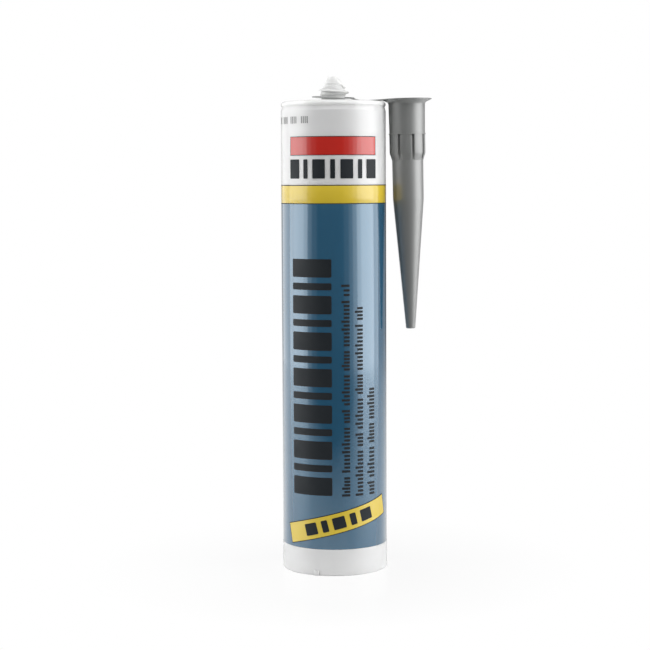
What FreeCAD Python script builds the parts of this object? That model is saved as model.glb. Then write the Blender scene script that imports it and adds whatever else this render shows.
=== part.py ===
import FreeCAD, Part
import math
import os

V = FreeCAD.Vector

# Sealant cartridge with its nozzle hanging beside it. Millimetres, +Z up.
# The axis of the cartridge is the Z axis and its foot stands on z = 0.
# The front, with the middle of the print, faces -Y; the nozzle hangs at +X.
# Azimuths of the print are in degrees from the front, positive towards +X.

# Tube of the cartridge
tube_r = 24.6
tube_wall = 1.3
foot_out = 0.3
foot_height = 12.15
foot_step = 0.3
rear_relief = 0.3
rear_bore_depth = 12.0
rear_lead = 0.8
shoulder_z = 220.4
shoulder_edge_round = 1.6
bead_height = 1.5
groove_height = 3.0
groove_depth = 0.45
groove_top_slope = 1.0
groove_low_slope = 1.5
head_sink = 0.2
head_sink_r = 21.3
head_thickness = 2.4
head_inner_round = 1.2

# Lug of the mould's gate on the outside of the foot
lug_azimuth = -20.7
lug_width = 2.4
lug_height = 2.4
lug_out = 0.5

# Spigot: smooth neck, coarse outer thread and sealed tip
neck_r = 5.5
neck_height = 3.3
neck_step = 0.2
spigot_core_r = 6.2
spigot_core_top_r = 4.6
thread_height = 4.75
thread_crest_r = 7.5
thread_pitch = 2.3
thread_base_w = 2.0
thread_crest_w = 0.6
thread_root_r = 4.3
thread_start = 40.0
thread_lead = 1.2
thread_top_r = 5.0
tip_base_r = 4.1
tip_top_r = 2.35
tip_height = 3.8
tip_foot = 0.5
spigot_bore_r = 3.9
tip_bore_r = 1.5
tip_wall = 1.6
tip_bore_lead = 1.5
tip_membrane = 1.2

# Piston: cup with two sealing lips and a ribbed back
piston_recess = 3.0
piston_height = 19.0
piston_clearance = 0.06
lip_height = 2.2
lip_depth = 0.7
piston_front = 1.8
piston_skirt = 1.3
hub_r = 4.0
rib_count = 6
rib_w = 1.2
rib_height = 6.0

# Nozzle: flange, collar with inner thread, gripping lobes, barrel and cone
nozzle_gap = 1.22
nozzle_top_z = 221.62
nozzle_lean = 0.99
nozzle_length = 108.05
flange_r = 11.73
flange_rim = 0.35
flange_flare = 1.45
mouth_depth = 1.2
mouth_rim = 1.0
collar_top_r = 8.6
collar_end_r = 8.37
collar_length = 16.2
ledge_height = 0.5
ledge_out = 0.25
lobe_r = 8.42
lobe_length = 9.1
lobe_chamfer = 3.0
lobe_count = 8
lobe_gap = 1.2
lobe_azimuth = 15.5
barrel_r = 7.32
barrel_end_r = 7.24
barrel_end = 46.95
cone_tip_r = 2.18
cone_tip_round = 0.5
thread_clearance = 0.25
nozzle_thread_depth = 9.0
nozzle_thread_start = 2.0
nozzle_thread_depth_r = 0.8
nozzle_thread_sink = 0.3
collar_bore_depth = 12.0
seat_length = 2.5
nozzle_wall = 1.0
outlet_r = 1.1
outlet_land = 3.0

# Eyelet round the neck of the spigot, and the strap to the flange
eyelet_clearance = 0.35
eyelet_r = 10.0
eyelet_thickness = 0.5
eyelet_lift = 2.15
eyelet_tilt = 2.0
eyelet_pitch = 4.5
strap_width = 7.0
strap_thickness = 0.4
strap_overlap = 1.5
strap_low_x = 13.5
strap_lift = 0.4
strap_round = 15.0

# Ink on the wall
ink = 0.1
ink_gap = 0.05
blue_top = 173.2
yellow_top = 181.6
red_bottom = 195.1
red_top = 203.8
red_from = -54.1
red_to = 51.7
header_bottom = 184.5
header_top = 193.3
header_wide = 6.0
header_narrow = 2.2
header_count = 7
title_from = -50.5
title_to = -3.0
title_bottom = 37.8
title_top = 147.6
title_wide = 8.4
title_narrow = 3.2
title_count = 13
text_rows = [(7.5, 16.5), (22.7, 32.0), (37.8, 48.0)]
text_bottom = 37.4
text_top_first = 135.9
text_top_second = 127.8
text_top_third = 87.4
word_plain = 9.0
word_long = 21.0
word_short = 6.0
word_wide = 14.0
text_gap = 2.2
code_from = -80.0
code_bottom = 209.8
code_height = 3.2
code_first = 2.6
code_middle = 4.6
code_last = 4.2
code_gap = 2.2
strip_azimuth = 4.4
strip_z = 25.1
strip_length = 54.4
strip_height = 9.75
strip_tilt = 14.2
strip_bar_long = 6.0
strip_bar_short = 3.0
strip_bar_gap = 2.4
strip_bar_height = 5.6

# Sizes that follow from the ones above
foot_r = tube_r + foot_out
tube_bore_r = tube_r - tube_wall
rear_bore_r = tube_bore_r + rear_relief
head_z = shoulder_z - head_thickness
neck_z = shoulder_z - head_sink
thread_z = neck_z + neck_height
tip_z = thread_z + thread_height
top_z = tip_z + tip_height
piston_z = rear_bore_depth + piston_recess
piston_front_z = piston_z + piston_height
piston_r = tube_bore_r - piston_clearance
nozzle_axis_x = tube_r + nozzle_gap + collar_top_r
nozzle_bore_r = thread_crest_r + thread_clearance
eyelet_bore_r = neck_r + eyelet_clearance
eyelet_z = neck_z + eyelet_lift


def outline_face(outline):
    """Closed face in the XZ plane from corners (x, z, rounding of the corner)."""
    corners = [V(x, 0, z) for x, z, rounding in outline]
    count = len(corners)
    bends = []
    for i, (x, z, rounding) in enumerate(outline):
        corner = corners[i]
        back = corners[i - 1] - corner
        ahead = corners[(i + 1) % count] - corner
        back.normalize()
        ahead.normalize()
        if rounding == 0:
            bends.append((corner, None, corner))
            continue
        half = back.getAngle(ahead) / 2
        run = rounding / math.tan(half)
        inward = back + ahead
        inward.normalize()
        middle = corner + inward * (rounding / math.sin(half) - rounding)
        bends.append((corner + back * run, middle, corner + ahead * run))
    edges = []
    for i in range(count):
        start, middle, end = bends[i]
        if middle is not None:
            edges.append(Part.Arc(start, middle, end).toShape())
        following = bends[(i + 1) % count][0]
        if (following - end).Length > 1e-6:
            edges.append(Part.LineSegment(end, following).toShape())
    return Part.Face(Part.Wire(edges))


def turned(outline):
    """Solid of revolution about the Z axis."""
    return outline_face(outline).revolve(V(0, 0, 0), V(0, 0, 1), 360)


def thread_ridge(base_r, crest_r, bottom, height):
    """Right-hand ridge that winds about the Z axis, from its base to its crest."""
    path = Part.makeHelix(thread_pitch, height - thread_base_w, base_r)
    half_base = thread_base_w / 2
    half_crest = thread_crest_w / 2
    points = [V(base_r, 0, -half_base), V(crest_r, 0, -half_crest)]
    points += [V(crest_r, 0, half_crest), V(base_r, 0, half_base)]
    section = Part.makePolygon(points + points[:1])
    ridge = Part.Wire(path).makePipeShell([section], True, True)
    ridge.translate(V(0, 0, bottom + half_base))
    ridge.rotate(V(0, 0, 0), V(0, 0, 1), thread_start)
    return ridge


def wall_patch(azimuth, low, width, height, inner_r, outer_r):
    """Patch of ink bounded by two heights, from an azimuth, as wide as given on the wall."""
    corners = [(inner_r, low, 0), (outer_r, low, 0)]
    corners += [(outer_r, low + height, 0), (inner_r, low + height, 0)]
    face = outline_face(corners)
    face.rotate(V(0, 0, 0), V(0, 0, 1), azimuth - 90)
    return face.revolve(V(0, 0, 0), V(0, 0, 1), math.degrees(width / tube_r))


def tilted_patch(along, length, height, inner_r, outer_r):
    """Patch laid along the tilted strip, its middle at a distance from the strip's middle."""
    slope = math.radians(strip_tilt)
    middle = math.radians(strip_azimuth) * tube_r

    def on_front(u, v):
        turn = (middle + u * math.cos(slope) - v * math.sin(slope)) / tube_r
        rise = strip_z + u * math.sin(slope) + v * math.cos(slope)
        return V(outer_r * math.sin(turn), 0, rise)

    steps = 8
    half = height / 2
    us = [along - length / 2 + length * i / steps for i in range(steps + 1)]
    low = Part.BSplineCurve()
    low.interpolate([on_front(u, -half) for u in us])
    high = Part.BSplineCurve()
    high.interpolate([on_front(u, half) for u in us])
    first = Part.LineSegment(on_front(us[0], half), on_front(us[0], -half))
    last = Part.LineSegment(on_front(us[-1], -half), on_front(us[-1], half))
    edges = [low.toShape(), last.toShape(), high.toShape(), first.toShape()]
    face = Part.Face(Part.Wire(Part.__sortEdges__(edges)))
    prism = face.extrude(V(0, -2 * tube_r, 0))
    margin = length + height
    ring = [(inner_r, strip_z - margin, 0), (outer_r, strip_z - margin, 0)]
    ring += [(outer_r, strip_z + margin, 0), (inner_r, strip_z + margin, 0)]
    return turned(ring).common(prism)


def bar_row(total, wide, narrow, count):
    """Starts and lengths of bars that are wide and narrow in turn and fill a row."""
    lengths = [wide if i % 2 == 0 else narrow for i in range(count)]
    gap = (total - sum(lengths)) / (count - 1)
    starts = [sum(lengths[:i]) + gap * i for i in range(count)]
    return list(zip(starts, lengths))


def save(shape, name):
    shape.exportStep("parts/" + name + ".step")


os.makedirs("parts", exist_ok=True)

# The cartridge body is one injection moulding: foot, tube, groove and
# bead, flat head a little sunk, neck, spigot and sealed tip, hollow from the rear.
bead_z = shoulder_z - bead_height
groove_z = bead_z - groove_height
spigot_bore = [
    (0, top_z - tip_membrane, 0),
    (tip_bore_r, top_z - tip_membrane, 0.3),
    (tip_base_r - tip_wall, tip_z, 0),
    (spigot_bore_r, tip_z - tip_bore_lead, 0),
    (spigot_bore_r, head_z, 0),
]
outline = [
    (rear_bore_r, 0, 0),
    (foot_r, 0, 0.5),
    (foot_r, foot_height, 0.2),
    (tube_r, foot_height + foot_step, 0),
    (tube_r, groove_z, 0),
    (tube_r - groove_depth, groove_z + groove_low_slope, 0),
    (tube_r - groove_depth, bead_z - groove_top_slope, 0),
    (tube_r, bead_z, 0),
    (tube_r, shoulder_z, shoulder_edge_round * 0.95),
    (tube_r - shoulder_edge_round, shoulder_z, 0),
    (head_sink_r + head_sink, shoulder_z, 0),
    (head_sink_r, neck_z, 0),
    (neck_r, neck_z, 0.3),
    (neck_r, thread_z - neck_step, 0),
    (spigot_core_r, thread_z, 0),
    (spigot_core_top_r, tip_z - 0.6, 0.3),
    (tip_base_r - 0.3, tip_z, 0.2),
    (tip_base_r, tip_z + tip_foot, 0.2),
    (tip_top_r, top_z, 0.5),
    (0, top_z, 0),
    *spigot_bore,
    (tube_bore_r, head_z, head_inner_round),
    (tube_bore_r, rear_bore_depth + rear_lead, 0),
    (rear_bore_r, rear_bore_depth, 0),
]
body = turned(outline)
ridge = thread_ridge(thread_root_r, thread_crest_r, thread_z, thread_height)
taper = turned([
    (0, thread_z - 1, 0),
    (thread_crest_r, thread_z - 1, 0),
    (thread_crest_r, thread_z + thread_lead, 0),
    (thread_top_r, tip_z, 0),
    (0, tip_z, 0),
])
body = body.fuse(ridge.common(taper))
lug_root = (rear_bore_r + foot_r) / 2
lug = Part.makeBox(foot_r + lug_out - lug_root, lug_width, lug_height)
lug.translate(V(lug_root, -lug_width / 2, 0))
lug.rotate(V(0, 0, 0), V(0, 0, 1), lug_azimuth - 90)
body = body.fuse(lug)
save(body, "cartridge_body")

# The piston is a soft cup. Its two lips run on the bore; the back has a hub and
# ribs that take the push plate of the gun.
groove_r = piston_r - lip_depth
cup_r = groove_r - piston_skirt
piston = turned([
    (cup_r, piston_z, 0),
    (piston_r, piston_z, 0.2),
    (piston_r, piston_z + lip_height, 0.2),
    (groove_r, piston_z + lip_height + lip_depth, 0),
    (groove_r, piston_front_z - lip_height - lip_depth, 0),
    (piston_r, piston_front_z - lip_height, 0.2),
    (piston_r, piston_front_z, 0.2),
    (0, piston_front_z, 0),
    (0, piston_front_z - piston_front, 0),
    (cup_r, piston_front_z - piston_front, 0.8),
])
rib_base = piston_front_z - piston_front
hub = Part.makeCylinder(hub_r, rib_height, V(0, 0, rib_base - rib_height))
piston = piston.fuse(hub)
for i in range(rib_count):
    rib = Part.makeBox(cup_r + piston_skirt / 2, rib_w, rib_height)
    rib.translate(V(0, -rib_w / 2, rib_base - rib_height))
    rib.rotate(V(0, 0, 0), V(0, 0, 1), 360 * i / rib_count)
    piston = piston.fuse(rib)
save(piston.removeSplitter(), "piston")

# The charge of sealant fills the tube from the piston to the head. A plug of
# the same paste stands in the spigot up to the sealed tip.
charge = turned([
    (0, piston_front_z, 0),
    (tube_bore_r, piston_front_z, 0),
    (tube_bore_r, head_z, head_inner_round),
    (0, head_z, 0),
])
save(charge, "sealant")
plug = turned(spigot_bore + [(0, head_z, 0)])
save(plug, "sealant_neck_plug")

# The nozzle is one moulding: flange, collar, lobes, barrel and cone on a leaning
# axis, with the strap and the eyelet that hold it round the neck of the spigot.
collar_z = -flange_rim - flange_flare
ledge_z = -collar_length
lobe_z = ledge_z - ledge_height - lobe_length
lobe_end_z = lobe_z - lobe_chamfer
bore_end_z = -collar_bore_depth
seat_z = bore_end_z - seat_length
inner_r = barrel_r - nozzle_wall
nozzle = turned([
    (flange_r - mouth_rim, 0, 0),
    (flange_r, 0, 0.2),
    (flange_r, -flange_rim, 0.2),
    (collar_top_r, collar_z, 1.5),
    (collar_end_r, ledge_z, 0),
    (lobe_r + ledge_out, ledge_z, 0),
    (lobe_r + ledge_out, ledge_z - ledge_height, 0),
    (lobe_r, ledge_z - ledge_height, 0),
    (lobe_r, lobe_z, 1.5),
    (barrel_r, lobe_end_z, 0.5),
    (barrel_end_r, -barrel_end, 2.0),
    (cone_tip_r, -nozzle_length, cone_tip_round),
    (outlet_r, -nozzle_length, 0),
    (outlet_r, outlet_land - nozzle_length, 0),
    (barrel_end_r - nozzle_wall, -barrel_end, 2.0),
    (inner_r, seat_z, 0),
    (nozzle_bore_r, bore_end_z, 0),
    (nozzle_bore_r, -mouth_depth, 0),
])
for i in range(lobe_count):
    gap = Part.makeBox(lobe_r, lobe_gap, lobe_length + lobe_chamfer)
    gap.translate(V(barrel_r, -lobe_gap / 2, lobe_end_z))
    gap.rotate(V(0, 0, 0), V(0, 0, 1), lobe_azimuth - 90 + 360 * i / lobe_count)
    nozzle = nozzle.cut(gap)
inner_ridge = thread_ridge(
    nozzle_bore_r + nozzle_thread_sink,
    nozzle_bore_r - nozzle_thread_depth_r,
    -nozzle_thread_depth,
    nozzle_thread_depth - nozzle_thread_start,
)
nozzle = nozzle.fuse(inner_ridge)
nozzle.rotate(V(0, 0, 0), V(0, 1, 0), -nozzle_lean)
nozzle.translate(V(nozzle_axis_x, 0, nozzle_top_z))

half_ring = eyelet_thickness / 2
eyelet = turned([
    (eyelet_bore_r, -half_ring, 0.1),
    (eyelet_r, -half_ring, 0.15),
    (eyelet_r, half_ring, 0.15),
    (eyelet_bore_r, half_ring, 0.1),
])
eyelet.rotate(V(0, 0, 0), V(1, 0, 0), eyelet_pitch)
eyelet.rotate(V(0, 0, 0), V(0, 1, 0), eyelet_tilt)
eyelet.translate(V(0, 0, eyelet_z))
strap_start = (eyelet_bore_r + eyelet_r) / 2
start_z = eyelet_z - strap_start * math.sin(math.radians(eyelet_tilt))
strap_end = nozzle_axis_x - flange_r + strap_overlap
lean_drop = (flange_r - strap_overlap) * math.sin(math.radians(nozzle_lean))
end_z = nozzle_top_z - lean_drop - strap_thickness / 2
low_z = neck_z + strap_lift
half_strap = strap_thickness / 2
strap = outline_face([
    (strap_start, start_z - half_strap, 0),
    (strap_low_x, low_z - half_strap, strap_round),
    (strap_end, end_z - half_strap, 0),
    (strap_end, end_z + half_strap, 0),
    (strap_low_x, low_z + half_strap, strap_round),
    (strap_start, start_z + half_strap, 0),
]).extrude(V(0, strap_width, 0))
strap.translate(V(0, -strap_width / 2, 0))
nozzle = nozzle.fuse(strap).fuse(eyelet).removeSplitter()
save(nozzle, "nozzle")

# The print is ink on the wall: a blue field from the foot to a yellow band, then
# white wall with a red bar. Dark plain bars stand where the lettering was.
ink_r = tube_r + ink
top_ink_r = ink_r + ink
over_ink_r = ink_r + ink_gap
turn = 2 * math.pi * tube_r
blue_bottom = foot_height + foot_step
blue = turned([
    (tube_r, blue_bottom, 0),
    (ink_r, blue_bottom, 0),
    (ink_r, blue_top, 0),
    (tube_r, blue_top, 0),
])
save(blue, "print_blue_field")
yellow = turned([
    (tube_r, blue_top, 0),
    (ink_r, blue_top, 0),
    (ink_r, yellow_top, 0),
    (tube_r, yellow_top, 0),
])
save(yellow, "print_yellow_band")
red_width = math.radians(red_to - red_from) * tube_r
red = wall_patch(red_from, red_bottom, red_width, red_top - red_bottom, tube_r, ink_r)
save(red, "print_red_bar")

bars = []
for start, length in bar_row(red_width, header_wide, header_narrow, header_count):
    azimuth = red_from + math.degrees(start / tube_r)
    bars.append(wall_patch(azimuth, header_bottom, length, header_top - header_bottom, tube_r, ink_r))
reach = 0
for length in (code_first, code_middle, code_middle, code_last):
    azimuth = code_from + math.degrees(reach / tube_r)
    bars.append(wall_patch(azimuth, code_bottom, length, code_height, tube_r, ink_r))
    reach += length + code_gap
save(Part.makeCompound(bars), "print_header_bars")

bars = []
title_width = math.radians(title_to - title_from) * tube_r
for start, length in bar_row(title_top - title_bottom, title_wide, title_narrow, title_count):
    bars.append(wall_patch(title_from, title_bottom + start, title_width, length, over_ink_r, top_ink_r))
save(Part.makeCompound(bars), "print_title_bars")

bars = []
words = [word_plain, word_long, word_short, word_wide]
tops = [text_top_first, text_top_second, text_top_third]
for row, (left, right) in enumerate(text_rows):
    width = math.radians(right - left) * tube_r
    z = text_bottom
    word = row
    while z < tops[row] - text_gap:
        length = min(words[word % len(words)], tops[row] - z)
        bars.append(wall_patch(left, z, width, length, over_ink_r, top_ink_r))
        z += length + text_gap
        word += 1
save(Part.makeCompound(bars), "print_text_bars")

strip = tilted_patch(0, strip_length, strip_height, over_ink_r, top_ink_r)
save(strip, "print_yellow_strip")
bars = []
lengths = [strip_bar_long, strip_bar_short, strip_bar_long, strip_bar_short, strip_bar_long]
row_length = sum(lengths) + strip_bar_gap * (len(lengths) - 1)
reach = -row_length / 2
for length in lengths:
    middle = reach + length / 2
    bars.append(tilted_patch(middle, length, strip_bar_height, top_ink_r + ink_gap, top_ink_r + ink))
    reach += length + strip_bar_gap
save(Part.makeCompound(bars), "print_strip_bars")
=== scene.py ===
import math

import bmesh
import bpy
from mathutils import Matrix, Vector


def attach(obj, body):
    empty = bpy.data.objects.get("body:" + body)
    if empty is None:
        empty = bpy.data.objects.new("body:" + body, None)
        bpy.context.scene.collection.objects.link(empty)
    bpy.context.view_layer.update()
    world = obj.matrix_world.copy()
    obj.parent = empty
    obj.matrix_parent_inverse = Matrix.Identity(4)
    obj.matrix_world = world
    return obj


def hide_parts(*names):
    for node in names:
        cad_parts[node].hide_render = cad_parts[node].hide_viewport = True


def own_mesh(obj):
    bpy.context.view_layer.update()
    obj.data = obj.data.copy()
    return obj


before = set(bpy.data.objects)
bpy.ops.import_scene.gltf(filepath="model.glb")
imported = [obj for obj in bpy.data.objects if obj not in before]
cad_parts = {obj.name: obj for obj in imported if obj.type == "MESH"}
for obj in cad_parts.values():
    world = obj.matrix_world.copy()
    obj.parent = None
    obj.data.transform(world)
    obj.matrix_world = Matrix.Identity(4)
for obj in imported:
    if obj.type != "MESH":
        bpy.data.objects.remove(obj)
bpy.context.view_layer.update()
scene = bpy.context.scene
scene.view_settings.view_transform = "Standard"
MM = 0.001

# --- Studio ---
# A pale glossy table and a white surround stand for the cut-out background. A
# wall of tall soft boxes stands on either side, strongest beside the cartridge,
# with a dark gap in front. The camera looks down a little from arm's length.
CAMERA_AT = (-4.34, -818.0, 183.71)
CAMERA_DOWN = math.radians(4.78)
CAMERA_ROLL = -0.00489
LENS = 95.865
FLOOR_HALF = 12.0
ROOM_LIGHT = 0.11
BOX_DISTANCE = 1.0
BOX_HIGH = 1.5
BOX_LEVEL = 0.74
SOFT_BOXES = [
    # from and to in degrees from the front, radiance
    (-180.0, -150.0, 0.4),
    (-150.0, -112.0, 1.1),
    (-112.0, -98.0, 2.2),
    (-98.0, -70.0, 2.6),
    (-70.0, -60.0, 2.0),
    (-60.0, -50.0, 0.55),
    (-50.0, -38.0, 0.17),
    (22.0, 33.0, 0.15),
    (33.0, 42.0, 0.45),
    (42.0, 52.0, 1.1),
    (52.0, 62.0, 2.4),
    (62.0, 97.0, 3.1),
    (97.0, 113.0, 1.6),
    (113.0, 126.0, 0.32),
    (126.0, 152.0, 0.22),
]
TOP_BOX = 1.3
TOP_RADIANCE = 1.4
TOP_BOX_AT = Vector((0, -0.72, 1.15))
TOP_BOX_AIM = Vector((0, 0, 0.2))
TABLE_ROUGHNESS = 0.12
TABLE_FRONT = (0.05, 0.05, 0.05, 1)
TABLE_BACK = (0.97, 0.97, 0.97, 1)
FRONT_EDGE = (-0.22, 0.02)
EDGE_SLANT = 0.5
SHADOW_REACH = (0.03, 0.12)
NEAR_GLOW = 0.86

camera = bpy.data.objects.new("camera", bpy.data.cameras.new("camera"))
scene.collection.objects.link(camera)
scene.camera = camera
camera.data.lens = LENS
look = Vector((0, math.cos(CAMERA_DOWN), -math.sin(CAMERA_DOWN)))
up = Vector((0, math.sin(CAMERA_DOWN), math.cos(CAMERA_DOWN)))
right = Vector((1, 0, 0))
rolled_right = right * math.cos(CAMERA_ROLL) + up * math.sin(CAMERA_ROLL)
rolled_up = up * math.cos(CAMERA_ROLL) - right * math.sin(CAMERA_ROLL)
turn = Matrix((rolled_right, rolled_up, -look)).transposed().to_4x4()
camera.matrix_world = Matrix.Translation(Vector(CAMERA_AT) * MM) @ turn


def soft_box(name, wide, high, radiance, place, aim):
    """Rectangular soft box of an even radiance that faces a point."""
    light = bpy.data.lights.new(name, "AREA")
    light.shape = "RECTANGLE"
    light.size = wide
    light.size_y = high
    light.energy = radiance * math.pi * wide * high
    box = bpy.data.objects.new(name, light)
    scene.collection.objects.link(box)
    box.location = place
    box.rotation_euler = (aim - place).to_track_quat("-Z", "Y").to_euler()
    box.visible_camera = False


for start, stop, radiance in SOFT_BOXES:
    middle = math.radians((start + stop) / 2)
    wide = 2 * BOX_DISTANCE * math.tan(math.radians(stop - start) / 2)
    place = Vector((math.sin(middle), -math.cos(middle), 0)) * BOX_DISTANCE
    place.z = BOX_LEVEL
    soft_box("soft_box", wide, BOX_HIGH, radiance, place, Vector((0, 0, BOX_LEVEL)))
soft_box("top_box", TOP_BOX, TOP_BOX, TOP_RADIANCE, TOP_BOX_AT, TOP_BOX_AIM)

world = bpy.data.worlds.new("surround")
scene.world = world
world.use_nodes = True
tree = world.node_tree
tree.nodes.clear()
path = tree.nodes.new("ShaderNodeLightPath")
room = tree.nodes.new("ShaderNodeBackground")
room.inputs["Color"].default_value = (1, 1, 1, 1)
room.inputs["Strength"].default_value = ROOM_LIGHT
white = tree.nodes.new("ShaderNodeBackground")
white.inputs["Color"].default_value = (1, 1, 1, 1)
choose = tree.nodes.new("ShaderNodeMixShader")
out = tree.nodes.new("ShaderNodeOutputWorld")
tree.links.new(path.outputs["Is Camera Ray"], choose.inputs[0])
tree.links.new(room.outputs[0], choose.inputs[1])
tree.links.new(white.outputs[0], choose.inputs[2])
tree.links.new(choose.outputs[0], out.inputs["Surface"])

# What the cartridge mirrors of the table is dark in front and pale beside and
# behind it. The camera sees the table as white, but for the shadow near the foot.
floor_mesh = bpy.data.meshes.new("floor")
corners = [(-FLOOR_HALF, -FLOOR_HALF, 0), (FLOOR_HALF, -FLOOR_HALF, 0),
           (FLOOR_HALF, FLOOR_HALF, 0), (-FLOOR_HALF, FLOOR_HALF, 0)]
floor_mesh.from_pydata(corners, [], [(0, 1, 2, 3)])
floor = bpy.data.objects.new("floor", floor_mesh)
scene.collection.objects.link(floor)
floor_paint = bpy.data.materials.new("floor_paper")
floor_paint.use_nodes = True
tree = floor_paint.node_tree
tree.nodes.clear()
paper = tree.nodes.new("ShaderNodeBsdfPrincipled")
paper.inputs["Roughness"].default_value = TABLE_ROUGHNESS
glow = tree.nodes.new("ShaderNodeEmission")
path = tree.nodes.new("ShaderNodeLightPath")
where = tree.nodes.new("ShaderNodeTexCoord")
far = tree.nodes.new("ShaderNodeVectorMath")
far.operation = "LENGTH"
fade = tree.nodes.new("ShaderNodeMapRange")
fade.inputs["From Min"].default_value = SHADOW_REACH[0]
fade.inputs["From Max"].default_value = SHADOW_REACH[1]
fade.inputs["To Min"].default_value = NEAR_GLOW
fade.inputs["To Max"].default_value = 1.0
share = tree.nodes.new("ShaderNodeMath")
share.operation = "MULTIPLY"
apart = tree.nodes.new("ShaderNodeSeparateXYZ")
aside = tree.nodes.new("ShaderNodeMath")
aside.operation = "ABSOLUTE"
spread = tree.nodes.new("ShaderNodeMath")
spread.operation = "MULTIPLY_ADD"
spread.inputs[1].default_value = EDGE_SLANT
front_edge = tree.nodes.new("ShaderNodeMapRange")
front_edge.inputs["From Min"].default_value = FRONT_EDGE[0]
front_edge.inputs["From Max"].default_value = FRONT_EDGE[1]
table = tree.nodes.new("ShaderNodeMix")
table.data_type = "RGBA"
table.inputs["A"].default_value = TABLE_FRONT
table.inputs["B"].default_value = TABLE_BACK
choose = tree.nodes.new("ShaderNodeMixShader")
out = tree.nodes.new("ShaderNodeOutputMaterial")
tree.links.new(where.outputs["Object"], far.inputs[0])
tree.links.new(where.outputs["Object"], apart.inputs[0])
tree.links.new(apart.outputs["X"], aside.inputs[0])
tree.links.new(aside.outputs[0], spread.inputs[0])
tree.links.new(apart.outputs["Y"], spread.inputs[2])
tree.links.new(spread.outputs[0], front_edge.inputs["Value"])
tree.links.new(front_edge.outputs[0], table.inputs["Factor"])
tree.links.new(table.outputs["Result"], paper.inputs["Base Color"])
tree.links.new(far.outputs["Value"], fade.inputs["Value"])
tree.links.new(path.outputs["Is Camera Ray"], share.inputs[0])
tree.links.new(fade.outputs[0], share.inputs[1])
tree.links.new(share.outputs[0], choose.inputs[0])
tree.links.new(paper.outputs[0], choose.inputs[1])
tree.links.new(glow.outputs[0], choose.inputs[2])
tree.links.new(choose.outputs[0], out.inputs["Surface"])
floor_mesh.materials.append(floor_paint)

# --- Cartridge body ---
# One injection moulding of white polyethylene: foot band, tube, groove and bead
# under the shoulder, flat head, neck and the sealed spigot. Its skin is glossy,
# duller on the spigot, with a faint orange peel, and a little light passes in.
# The spigot's white is painted a little darker than the body's, as painted shade.
TUBE_R = 24.6
BORE_R = 23.3
FOOT_R = 24.9
FOOT_TOP = 12.15
REAR_R = 23.6
GROOVE_Z = 215.9
BEAD_Z = 218.9
HEAD_Z = 218.0
SHOULDER_Z = 220.4
NECK_Z = 220.2
THREAD_Z = 223.5
TIP_Z = 228.25
TOP_Z = 232.05
BODY_WHITE = (0.91, 0.915, 0.90, 1)
BODY_SHADE = (0.88, 0.885, 0.87, 1)
# Darker white for the spigot: painted shade, as it is the same plastic as the body.
SPIGOT_PAINTED_SHADE = (0.80, 0.805, 0.79, 1)
WALL_GLOSS = 0.35
SPIGOT_DULLNESS = 0.35
GROOVE_DEPTH = 0.45
SPIGOT_BORE_R = 3.9
NECK_R = 5.5
COAT_IOR = 1.7
COAT_ROUGHNESS = 0.10


def rounded(outline, steps=6):
    """Closed outline of (radius, height, rounding) corners as a plain list of points."""
    points = []
    count = len(outline)
    for i, (r, z, rounding) in enumerate(outline):
        corner = Vector((r, z))
        if rounding == 0:
            points.append((r, z))
            continue
        back = (Vector(outline[i - 1][:2]) - corner).normalized()
        ahead = (Vector(outline[(i + 1) % count][:2]) - corner).normalized()
        half = back.angle(ahead) / 2
        inward = (back + ahead).normalized()
        centre = corner + inward * (rounding / math.sin(half))
        start = corner + back * (rounding / math.tan(half)) - centre
        sweep = start.angle_signed(corner + ahead * (rounding / math.tan(half)) - centre)
        for step in range(steps + 1):
            part = -sweep * step / steps
            x = start.x * math.cos(part) - start.y * math.sin(part)
            y = start.x * math.sin(part) + start.y * math.cos(part)
            points.append((centre.x + x, centre.y + y))
    return points


def turned(name, outline, segments=160, angles=None, reach=None, steps=6):
    """Mesh turned about Z from a closed outline in millimetres, poles closed.
    reach(radius, height, angle) may change the radius round the axis."""
    points = rounded(outline, steps)
    if angles is None:
        angles = [2 * math.pi * i / segments for i in range(segments)]
    shape = bmesh.new()
    rings = []
    for r, z in points:
        if r < 1e-6:
            rings.append([shape.verts.new((0, 0, z * MM))] * len(angles))
            continue
        ring = []
        for angle in angles:
            far = r if reach is None else reach(r, z, angle)
            ring.append(shape.verts.new((far * MM * math.sin(angle), -far * MM * math.cos(angle), z * MM)))
        rings.append(ring)
    count = len(angles)
    for i, ring in enumerate(rings):
        following = rings[(i + 1) % len(rings)]
        for j in range(count):
            k = (j + 1) % count
            corners = []
            for vert in (ring[j], ring[k], following[k], following[j]):
                if vert not in corners:
                    corners.append(vert)
            if len(corners) > 2:
                shape.faces.new(corners)
    return as_piece(name, shape)


def as_piece(name, shape, crease=32.0):
    """Object from a bmesh, with outward faces, smooth but for its creases."""
    bmesh.ops.recalc_face_normals(shape, faces=shape.faces)
    for face in shape.faces:
        face.smooth = True
    for edge in shape.edges:
        if len(edge.link_faces) == 2:
            edge.smooth = edge.calc_face_angle(0) < math.radians(crease)
    mesh = bpy.data.meshes.new(name)
    shape.to_mesh(mesh)
    shape.free()
    piece = bpy.data.objects.new(name, mesh)
    scene.collection.objects.link(piece)
    return piece


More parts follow.
